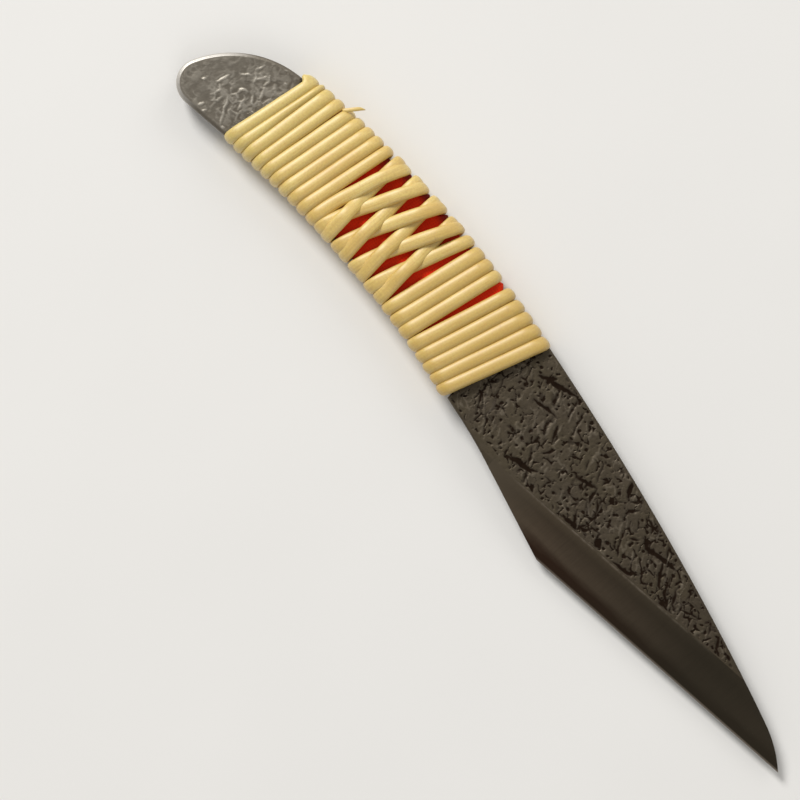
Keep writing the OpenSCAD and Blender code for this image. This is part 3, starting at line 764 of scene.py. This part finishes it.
def back_rows(i, start):
    """Rows of pass i over the back, from the spine at X start to the next pass's belly end."""
    belly, back = edge_centres(i)
    end = float(face_x(min(i + 1, LAST), np.array(belly - TURN_R)))
    behind, ahead = turn_width(i)[1], turn_width(min(i + 1, LAST))[0]
    under = edge_points(back, LOW_C, 0, -90)[:-1]
    under += [(y, LOW_C - TURN_R, 0.0, -1.0) for y in np.linspace(back, belly, UNDER_POINTS)]
    under += edge_points(belly, LOW_C, -90, -180)[1:]
    if i == LAST:
        under, end = under[:LAST_POINTS], start - LAST_LEAN
    rows = []
    for y, z, ny, nz in under:
        share = (back + TURN_R - y) / (back - belly + 2 * TURN_R)
        width = np.interp(share, [0, 0.3, 0.7, 1], [behind, BACK_WIDTH, BACK_WIDTH, ahead])
        rows.append((start + (end - start) * share, y, z, ny, nz, width, STRAND_T, 0.0))
    return rows


def lead_rows(first):
    """Rows of the strand's hidden beginning on the back, up to the first pass at X first."""
    belly, _ = edge_centres(0)
    lead = [(y, LOW_C - TURN_R, 0.0, -1.0) for y in np.linspace(MIDDLE_Y, belly, 8)]
    lead += edge_points(belly, LOW_C, -90, -180)[1:]
    return [
        (first - LEAD_SLOPE * (y - belly + TURN_R), y, z, ny, nz, BACK_WIDTH, STRAND_T, 0.0)
        for y, z, ny, nz in lead
    ]


def strand_rows():
    """Middle line of the strand, with its outward direction, width, thickness and flatness."""
    rows = []
    for i in range(LAST + 1):
        rows += face_rows(i)
        rows += back_rows(i, rows[-1][0])
    return np.array(lead_rows(float(face_x(0, np.array(rows[0][1])))) + rows)


def flare_start(rings, centre, side, across):
    """Pulls the strand's tucked beginning out to a point, toward the tail, from the first turn."""
    ring_y = centre[:, 1]
    flare = ramp(*FLARE_RISE, ring_y) * np.clip((FLARE_END - ring_y) / FLARE_FALL, 0, 1)
    flare *= (centre[:, 0] < FLARE_X) * (centre[:, 2] > FLARE_Z)
    tailward = np.maximum(-side[:, 0:1] * across, 0) ** 1.5
    rings[:, :, 0] -= FLARE_REACH * flare[:, None] * tailward


def make_strand():
    """The whole strand as one tube with a flattened round section."""
    rows = strand_rows()
    rows = rows[np.concatenate([[True], np.linalg.norm(np.diff(rows[:, :3], axis=0), axis=1) > 0.05])]
    centre, wide, thick = rows[:, :3].copy(), rows[:, 5], rows[:, 6]
    out = np.stack([wide * 0, rows[:, 3], rows[:, 4]], 1)
    length = np.concatenate([[0], np.cumsum(np.linalg.norm(np.diff(centre, axis=0), axis=1))])
    centre[:, 0] += WANDER * (cloud(length, length * 0, 9.0, 5) - 0.5)
    wide = wide * (1 + WIDTH_CHANGE * (cloud(length, length * 0, 6.0, 8) - 0.5))
    for column in range(3):
        centre[:, column] = np.convolve(np.pad(centre[:, column], 2, mode="edge"), SMOOTHING, mode="valid")
    along = unit(np.gradient(centre, axis=0))
    out = unit(out - (out * along).sum(1)[:, None] * along)
    side = np.cross(along, out)
    angle = np.linspace(-math.pi / 2, 1.5 * math.pi, SIDES, endpoint=False)
    c, s = np.cos(angle), np.sin(angle)
    flat = np.convolve(np.pad(rows[:, 7], 3, mode="edge"), np.ones(7) / 7, mode="valid")[:, None]
    # Powers below 1 fill the section out from round, most of all toward the tang and in a fan
    across = np.sign(c) * np.abs(c) ** np.where(s < 0, 0.7, 0.92 - 0.17 * flat)
    rise = np.where(s < 0, -np.abs(s) ** 0.75, np.abs(s) ** (0.95 - 0.4 * flat))
    rings = tube_rings(centre, side, out, wide[:, None] / 2 * across, thick[:, None] / 2 * rise)
    flare_start(rings, centre, side, across)
    rings[:, :, 2] = np.maximum(rings[:, :, 2], FLOOR_GAP)
    piece = plain_mesh("rattan_strand", rings.reshape(-1, 3), tube_faces(*rings.shape[:2]))
    strand_uv(piece, length, SIDES)
    return piece


def strand_uv(piece, length, sides):
    """UV in centimetres along the strand, and once around it from the hidden side."""
    layer = piece.data.uv_layers.new(name="strand")
    for polygon in piece.data.polygons:
        corners = [piece.data.loops[i].vertex_index for i in polygon.loop_indices]
        wraps = max(v % sides for v in corners) - min(v % sides for v in corners) > sides / 2
        for i, v in zip(polygon.loop_indices, corners):
            turn = v % sides / sides
            layer.data[i].uv = (length[v // sides] / 10, 1.0 if wraps and turn < 0.5 else turn)


# Middle line of the trimmed end as (x, y, z), which doesn't count SHIFT yet
END_ROUTE = [
    (27.6, 23.2, 7.6), (28.25, 24.1, 7.9), (29.0, 25.15, 8.15), (29.8, 26.25, 8.1), (30.65, 26.95, 7.85),
]
END_SIDES = 12
END_STEP = 1.2
END_FLATNESS = 0.62


def make_end():
    """The thinned, trimmed end of the strand, which comes out between two turns."""
    route = np.array(END_ROUTE)
    k = np.linspace(0, len(route) - 1, 15)
    centre = np.stack([np.interp(k, range(len(route)), route[:, j]) for j in range(3)], 1)
    centre[:, 0] += SHIFT
    along = unit(np.gradient(centre, axis=0))
    side = unit(np.cross(along, [0, 0, 1]))
    half = np.interp(k, [0, 2.4, 3.0, 4], [0.44, 0.44, 0.4, 0.1])[:, None]
    angle = np.linspace(0, 2 * math.pi, END_SIDES, endpoint=False)
    rise = END_FLATNESS * half * np.sin(angle)
    rings = tube_rings(centre, side, np.cross(side, along), half * np.cos(angle), rise)
    piece = plain_mesh("rattan_trimmed_end", rings.reshape(-1, 3), tube_faces(*rings.shape[:2]))
    strand_uv(piece, k * END_STEP, END_SIDES)
    return piece


# Places at the spine where the binding is open and the wrap swells out: X, rise and reach to either side
OPEN_PLACES = [(47.5, 1.0, 1.2), (53.3, 1.0, 1.2), (59.2, 1.0, 1.2), (78.0, 1.1, 1.7)]
# Places at the spine where shade is painted dark on the wrap between the passes: X and length in from the
# spine
PAINTED_SHADE_PLACES = [(41.9, 5.0), (47.5, 2.2), (53.3, 2.2), (59.2, 2.2)]
PAINTED_SHADE_REACH = 2.2
# Clearance between the wrap and the tang, its sections, and the points of a section between two corners
WRAP_GAP = 0.06
OUTER_RINGS = 270
INNER_RINGS = 90
WRAP_POINTS = 20
# Unevenness of the cloth on its upper side
CLOTH_RELIEF = 0.10


def wrap_ring(belly_x, spine_x, out):
    """One section of the wrap, out millimetres off the tang, as arrays of X, Y and Z."""
    low, high = tang_belly(belly_x) - out, tang_back(spine_x) + out
    if out == SKIN:
        high += sum(rise * hill(spine_x, place + SHIFT, reach, reach) for place, rise, reach in OPEN_PLACES)
    r = ROUND + out
    turn = np.linspace(0, math.pi / 2, 5)
    corners = [(high - r, TOP_C, 0), (low + r, TOP_C, 90), (low + r, LOW_C, 180), (high - r, LOW_C, 270)]
    ys, zs = [], []
    for cy, cz, start in corners:
        ys += list(cy + r * np.cos(turn + math.radians(start)))
        zs += list(cz + r * np.sin(turn + math.radians(start)))
        if start in (0, 180):
            span = np.linspace(high - r, low + r, WRAP_POINTS + 2)[1:-1]
            ys += list(span if start == 0 else span[::-1])
            zs += [cz + (r if start == 0 else -r)] * WRAP_POINTS
    ys, zs = np.array(ys), np.array(zs)
    xs = belly_x + (spine_x - belly_x) * (ys - low) / (high - low)
    if out == SKIN:
        on_top = zs > TOP_C + r - 0.01
        zs = zs + np.where(on_top, CLOTH_RELIEF * (cloud(xs, ys, 3.0, 71) - 0.6), 0)
    return np.stack([xs, ys, zs], 1)


def make_underlay():
    """The red wrap around the tang, seen through the plait."""
    first, last = np.array(TAIL_TURNS[0]) + SHIFT, np.array(BLADE_TURNS[-1]) + SHIFT
    outer = [wrap_ring(*(first + (last - first) * f), SKIN) for f in np.linspace(0, 1, OUTER_RINGS)]
    inner = [wrap_ring(*(first + (last - first) * f), WRAP_GAP) for f in np.linspace(1, 0, INNER_RINGS)]
    rings = np.array(outer + inner)
    faces = tube_faces(len(rings), rings.shape[1], closed=True)
    piece = plain_mesh("red_underlay", rings.reshape(-1, 3), faces)
    x, y, _ = plan_points(piece).T
    spine = tang_back(x) + SKIN
    # Painted shade: the wrap is coloured darker near the spine, between the passes
    painted_shade = sum(
        hill(x, place + SHIFT, PAINTED_SHADE_REACH, PAINTED_SHADE_REACH) * ramp(spine - length, spine, y)
        for place, length in PAINTED_SHADE_PLACES
    )
    piece.data.attributes.new("painted_shade", "FLOAT", "POINT").data.foreach_set("value", painted_shade)
    return piece


# Materials
class Graph:
    """A node material in the making, with its most used nodes."""

    def __init__(self, name):
        self.material = bpy.data.materials.new(name)
        self.material.use_nodes = True
        self.tree = self.material.node_tree
        self.tree.nodes.clear()
        self.shader = self.add("BsdfPrincipled")
        output = self.add("OutputMaterial")
        self.tree.links.new(self.shader.outputs["BSDF"], output.inputs["Surface"])

    def add(self, kind, inputs=None, **settings):
        node = self.tree.nodes.new("ShaderNode" + kind)
        for key, value in settings.items():
            setattr(node, key, value)
        for key, value in (inputs or {}).items():
            self.feed(node.inputs[key], value)
        return node

    def feed(self, socket, value):
        if isinstance(value, bpy.types.NodeSocket):
            self.tree.links.new(value, socket)
        else:
            socket.default_value = value

    def finished(self, **values):
        """The material, with values for its shader."""
        for key, value in values.items():
            self.feed(self.shader.inputs[key.replace("_", " ")], value)
        return self.material

    def math(self, operation, a, b):
        return self.add("Math", {0: a, 1: b}, operation=operation).outputs[0]

    def times(self, a, b):
        return self.math("MULTIPLY", a, b)

    def blend(self, factor, a, b, share=None):
        """Colour a where the factor is 0 and, by its share, colour b where it is 1."""
        if share:
            factor = self.times(factor, share)
        inputs = {0: factor, 6: a, 7: b}
        return self.add("Mix", inputs, data_type="RGBA", blend_type="MIX").outputs[2]

    def value(self, name):
        return self.add("Attribute", attribute_name=name).outputs["Fac"]

    def spot(self, scale=(1, 1, 1), turn=0.0, uv=None):
        """Object coordinates in millimetres, or those of a UV map, scaled and turned about Z."""
        if uv:
            coords = self.add("UVMap", uv_map=uv).outputs[0]
        else:
            coords = self.add("TexCoord").outputs["Object"]
            scale = [s / MM for s in scale]
        inputs = {"Vector": coords, "Scale": scale, "Rotation": (0, 0, turn)}
        return self.add("Mapping", inputs).outputs[0]

    def noise(self, scale, detail=3, rough=0.5, vector=None):
        inputs = {"Vector": vector or self.spot(), "Scale": scale, "Detail": detail, "Roughness": rough}
        return self.add("TexNoise", inputs).outputs["Fac"]

    def span(self, value, low, high, to_low=0.0, to_high=1.0):
        """The value changed from one range to another and kept within it."""
        inputs = {"Value": value, "From Min": low, "From Max": high, "To Min": to_low, "To Max": to_high}
        return self.add("MapRange", inputs).outputs[0]

    def bump(self, height, distance, strength=1.0, normal=None):
        inputs = {"Height": height, "Distance": distance * MM, "Strength": strength}
        if normal:
            inputs["Normal"] = normal
        return self.add("Bump", inputs).outputs[0]

    def along_x(self, start, end, to_low=0.0, to_high=1.0):
        """A value that changes between two places along X, in metres from the knife's middle."""
        coords = self.add("TexCoord").outputs["Object"]
        x = self.add("SeparateXYZ", {0: coords}).outputs["X"]
        return self.span(x, start, end, to_low, to_high)


def rgb(r, g, b):
    """Linear colour from the 0 to 255 of a picture."""
    return tuple(((c / 255 + 0.055) / 1.055) ** 2.4 for c in (r, g, b)) + (1.0,)


def iron_material():
    """Dark forged iron with darker cracks, and paler, polished iron on the tail."""
    g = Graph("pitted_iron")
    mottle = g.noise(0.35, 4)
    skin = g.blend(mottle, rgb(73, 65, 53), rgb(93, 83, 69))
    olive = g.span(g.noise(0.16, 2), 0.42, 0.6)
    skin = g.blend(olive, skin, rgb(86, 77, 58), 0.35)
    skin = g.blend(g.along_x(0.02, 0.08, 0.0, 0.35), skin, rgb(60, 51, 40))
    tail = g.blend(mottle, rgb(109, 102, 91), rgb(131, 124, 112))
    tail = g.blend(g.along_x(-0.092, -0.083, 0.0, 0.55), tail, rgb(98, 90, 78))
    colour = g.blend(g.along_x(-0.082, -0.02), tail, skin)
    speck = g.span(g.noise(1.6, 4, 0.65), 0.5, 0.7)
    speck = g.times(speck, g.along_x(-0.082, -0.02, 0.12, 0.4))
    colour = g.blend(speck, colour, rgb(58, 49, 38))
    colour = g.blend(g.value("worm"), colour, rgb(122, 112, 97), 0.65)
    colour = g.blend(g.value("tail_worm"), colour, rgb(184, 177, 164), 0.85)
    colour = g.blend(g.value("rim"), colour, rgb(205, 200, 192))
    crack = g.value("crack")
    dark = g.blend(g.noise(1.2, 3), rgb(20, 12, 7), rgb(38, 27, 18))
    colour = g.blend(g.span(crack, 0.08, 0.85), colour, dark)
    fine = g.noise(3.0, 5, 0.6)
    return g.finished(
        Base_Color=colour,
        Metallic=g.span(crack, 0.2, 0.8, 0.85, 0.1),
        Roughness=g.math(
            "SUBTRACT", g.span(crack, 0.2, 0.8, 0.56, 0.9), g.along_x(-0.06, -0.08, 0.0, 0.08)
        ),
        Specular_IOR_Level=g.span(crack, 0.2, 0.8, 0.4, 0.04),
        Normal=g.bump(fine, 0.03, 0.6, g.bump(g.noise(1.1, 3), 0.06, 0.7)),
    )


def bevel_material(name, edge_line):
    """Stone-ground bevel: fine strokes square to the edge, darker and browner near the edge."""
    g = Graph(name)
    coords = g.add("TexCoord").outputs["Object"]
    normal = (-math.sin(EDGE_SLOPE) / MM, math.cos(EDGE_SLOPE) / MM, 0)
    across = g.add("VectorMath", {0: coords, 1: normal}, operation="DOT_PRODUCT").outputs["Value"]
    heel = (np.array([HEEL[0], HEEL[1], 0]) + PLAN) * MM
    reach = g.math("SUBTRACT", across, float(heel[0] * normal[0] + heel[1] * normal[1]))
    strokes = g.noise(1.0, 4, 0.65, vector=g.spot((5.0, 0.12, 0.3), -EDGE_SLOPE))
    clouds = g.noise(1.0, 3, vector=g.spot((0.06, 0.3, 0.3), -EDGE_SLOPE))
    wavy = g.math("ADD", reach, g.span(clouds, 0.3, 0.7, -0.7, 0.7))
    body = g.blend(g.span(wavy, 4.5, 7.5), rgb(88, 75, 61), rgb(73, 62, 49))
    body = g.blend(g.span(reach, 8.0, 9.3), body, rgb(84, 73, 58))
    colour = g.blend(g.span(wavy, 1.6, 3.5), rgb(51, 33, 21), body)
    colour = g.blend(g.span(strokes, 0.42, 0.7), colour, rgb(46, 37, 29), 0.25)
    colour = g.blend(g.along_x(0.026, 0.07, 0.0, 0.85), colour, rgb(42, 37, 27))
    colour = g.blend(g.along_x(0.026, 0.009), colour, rgb(90, 80, 66))
    glint = g.span(reach, 9.45, 9.9)
    glint = g.times(glint, g.span(g.noise(0.7, 3), 0.35, 0.65, 0.15, 0.75))
    glint = g.times(glint, g.along_x(0.012, 0.018))
    glint = g.times(glint, g.along_x(0.072, 0.052))
    colour = g.blend(glint, colour, rgb(124, 113, 99))
    if edge_line:
        line = g.span(reach, 0.5, 0.15)
        colour = g.blend(line, colour, rgb(128, 118, 106), 0.7)
    return g.finished(
        Base_Color=colour,
        Metallic=0.85,
        Roughness=g.math(
            "ADD", g.span(strokes, 0.3, 0.7, 0.32, 0.44), g.along_x(0.024, 0.010, 0.0, 0.18)
        ),
        Normal=g.bump(strokes, 0.012, 0.35),
    )


def rattan_material():
    """Glossy skin of the strand: long fibres, rings across them and pores."""
    g = Graph("rattan")
    fibre = g.noise(1.0, 5, 0.6, vector=g.spot((1.4, 26, 1), uv="strand"))
    patch = g.noise(1.0, 3, vector=g.spot((1.1, 1.2, 1), uv="strand"))
    tone = g.noise(1.0, 3, vector=g.spot((0.12, 0.12, 0.12)))
    colour = g.blend(g.span(patch, 0.35, 0.65), rgb(214, 180, 88), rgb(225, 198, 111))
    colour = g.blend(g.span(fibre, 0.42, 0.7), colour, rgb(192, 152, 64), 0.6)
    colour = g.blend(g.span(tone, 0.45, 0.7), colour, rgb(206, 164, 76), 0.35)
    colour = g.blend(g.along_x(-0.06, -0.08, 0.0, 0.5), colour, rgb(213, 195, 112))
    colour = g.blend(g.along_x(-0.045, -0.008, 0.0, 0.65), colour, rgb(190, 154, 58))
    ring = g.noise(1.0, 3, 0.6, vector=g.spot((9, 2.0, 1), uv="strand"))
    colour = g.blend(g.span(ring, 0.62, 0.75), colour, rgb(166, 124, 60), 0.4)
    pores = g.noise(1.0, 2, 0.6, vector=g.spot((22, 18, 1), uv="strand"))
    colour = g.blend(g.span(pores, 0.4, 0.7), colour, rgb(180, 138, 62), 0.35)
    return g.finished(
        Base_Color=colour,
        Roughness=g.span(fibre, 0.3, 0.7, 0.44, 0.56),
        Subsurface_Weight=0.12,
        Subsurface_Radius=(0.0012, 0.0008, 0.0004),
        Coat_Weight=1.0,
        Coat_IOR=1.75,
        Coat_Roughness=0.55,
        Normal=g.bump(fibre, 0.03, 0.5, g.bump(ring, 0.02, 0.4, g.bump(pores, 0.02, 0.5))),
    )


def underlay_material():
    """Red cloth with its weave, and painted shade in dark red near the spine between the passes."""
    g = Graph("red_cloth")
    threads = []
    for direction in ("X", "Y"):
        inputs = {"Vector": g.spot(turn=0.12), "Scale": 0.55, "Distortion": 0.6}
        threads.append(g.add("TexWave", inputs, bands_direction=direction).outputs["Fac"])
    weave = g.times(*threads)
    colour = g.blend(g.noise(0.6, 4), rgb(212, 37, 6), rgb(236, 57, 11))
    colour = g.blend(weave, colour, rgb(168, 18, 5), 0.3)
    # Painted shade: dark red near the spine between the passes
    colour = g.blend(g.value("painted_shade"), colour, rgb(104, 14, 5))
    return g.finished(
        Base_Color=colour,
        Roughness=0.7,
        Specular_IOR_Level=0.15,
        Normal=g.bump(weave, 0.05, 0.6),
    )


def floor_material():
    g = Graph("pale_floor")
    colour = g.blend(g.noise(0.02, 2), rgb(226, 224, 220), rgb(230, 228, 224))
    return g.finished(Base_Color=colour, Roughness=0.9)


def make_stage():
    """The floor that the knife lies on."""
    half = 1.5
    mesh = bpy.data.meshes.new("floor")
    corners = [(-half, -half, 0), (half, -half, 0), (half, half, 0), (-half, half, 0)]
    mesh.from_pydata(corners, [], [(0, 1, 2, 3)])
    floor = in_scene("floor", mesh)
    mesh.materials.append(floor_material())


def add_lamp(name, place, size, power):
    """A round lamp that points at the knife's middle."""
    lamp = bpy.data.lights.new(name, "AREA")
    lamp.shape, lamp.size, lamp.energy = "DISK", size, power
    holder = in_scene(name, lamp)
    holder.location = place
    holder.rotation_euler = (Vector() - Vector(place)).to_track_quat("-Z", "Y").to_euler()


def make_light():
    """An even, slightly warm surround, one strong lamp from the tail's side and two weak ones."""
    world = bpy.data.worlds.new("studio")
    world.use_nodes = True
    surround = world.node_tree.nodes["Background"].inputs
    surround["Color"].default_value = (1.0, 0.99, 0.97, 1)
    surround["Strength"].default_value = 0.34
    bpy.context.scene.world = world
    add_lamp("key", (-1.9, 0.34, 1.57), 0.9, 55.5)
    add_lamp("fill", (0.6, -0.5, 0.8), 0.8, 1.6)
    add_lamp("spine_fill", (-0.3, 1.4, 0.9), 1.0, 4.0)


# Metres from the camera down to the show face, the width that it sees there, where it looks, and its turn
VIEW_DISTANCE = 0.7
VIEW_WIDTH = 0.1716
VIEW_CENTRE = (-0.01462, -0.01723)
VIEW_TURN = math.radians(49)


def make_camera():
    """A camera that looks straight down on the knife."""
    camera = bpy.data.cameras.new("camera")
    holder = in_scene("camera", camera)
    camera.sensor_width = 36
    camera.lens = camera.sensor_width * VIEW_DISTANCE / VIEW_WIDTH
    camera.clip_start = 0.05
    place = Vector((*VIEW_CENTRE, FACE_Z * MM + VIEW_DISTANCE))
    holder.matrix_world = Matrix.Translation(place) @ Matrix.Rotation(VIEW_TURN, 4, "Z")
    bpy.context.scene.camera = holder


def dress(piece, nodes, materials):
    """Gives a piece its materials and body, and hides the nodes that it stands for."""
    for material in materials:
        piece.data.materials.append(material)
    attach(piece, "root")
    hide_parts(*nodes)


make_camera()
make_light()
make_stage()
rattan = rattan_material()
bevel = bevel_material("iron_bevel", False)
steel = bevel_material("edge_steel", True)
dress(make_forging(), ["blade_iron"], [iron_material(), bevel])
dress(make_underlay(), ["underlay"], [underlay_material()])
dress(make_strand(), ["rattan_tail_turns", "rattan_plait", "rattan_blade_turns"], [rattan])
dress(make_end(), ["rattan_end"], [rattan])
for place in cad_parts["blade_steel"].material_slots:
    place.material = steel

bpy.context.scene.view_settings.view_transform = "Standard"
